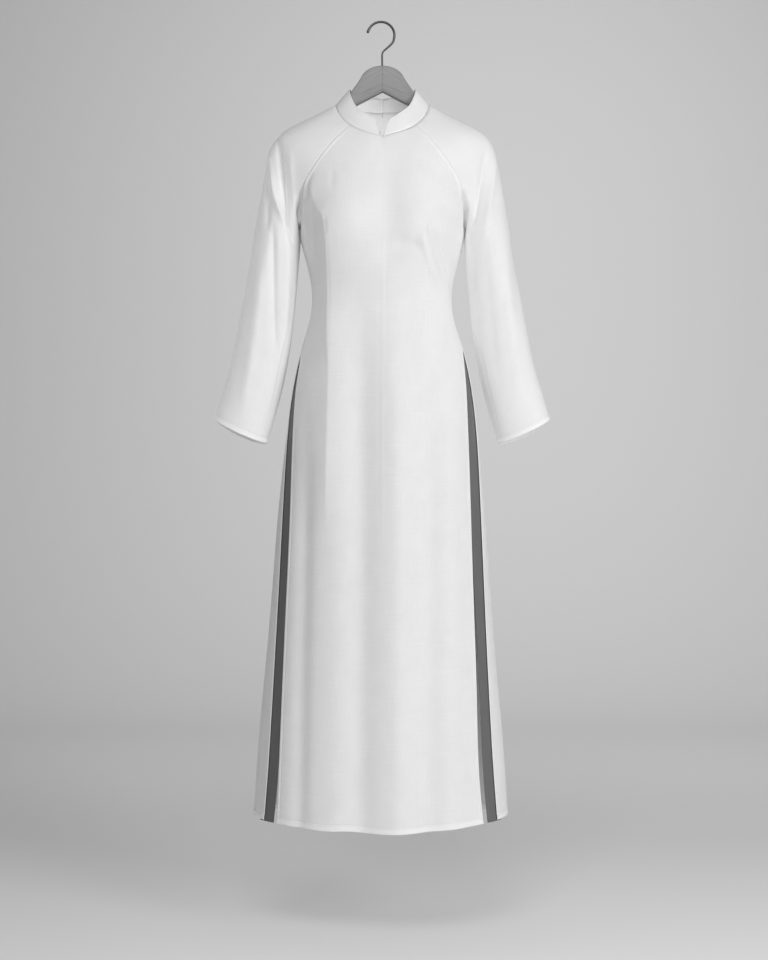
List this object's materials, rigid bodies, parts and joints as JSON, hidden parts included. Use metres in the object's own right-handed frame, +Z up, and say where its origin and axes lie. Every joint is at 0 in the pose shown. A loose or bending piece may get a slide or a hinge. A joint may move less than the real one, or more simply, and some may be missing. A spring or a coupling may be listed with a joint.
{
  "type": "ao dai tunic on a wooden hanger",
  "caption": "Long-sleeved tunic with a notched standing collar, raglan sleeves and long side-slit skirt panels, filled out and hung on a wooden hanger.",
  "frame": {"origin": "inner crown of the hanger's hook, where it rests on a rail", "axes": "+Z up, from hem to hook; +X to the viewer's right across the shoulders; +Y towards the back of the garment, so the front faces -Y"},
  "size_m": [0.57, 0.254, 1.3649],
  "materials": {
    "white_cloth": "fine slub weave with a soft sheen",
    "grey_cloth": "dark plain weave",
    "white_bead": "smooth, glossy",
    "wood": "stained, satin",
    "dark_wire": "dark, satin"
  },
  "bodies": {
    "root": {"front_panel": "white_cloth", "back_panel": "white_cloth", "sleeve_left": "white_cloth", "sleeve_right": "white_cloth", "collar_left": "white_cloth", "collar_right": "white_cloth", "slit_inset_left": "grey_cloth", "slit_inset_right": "grey_cloth", "front_bead": "white_bead", "back_hook": "white_bead", "back_loop": "white_bead", "hanger_arm_left": "wood", "hanger_arm_right": "wood", "hook": "dark_wire"}
  },
  "joints": []
}
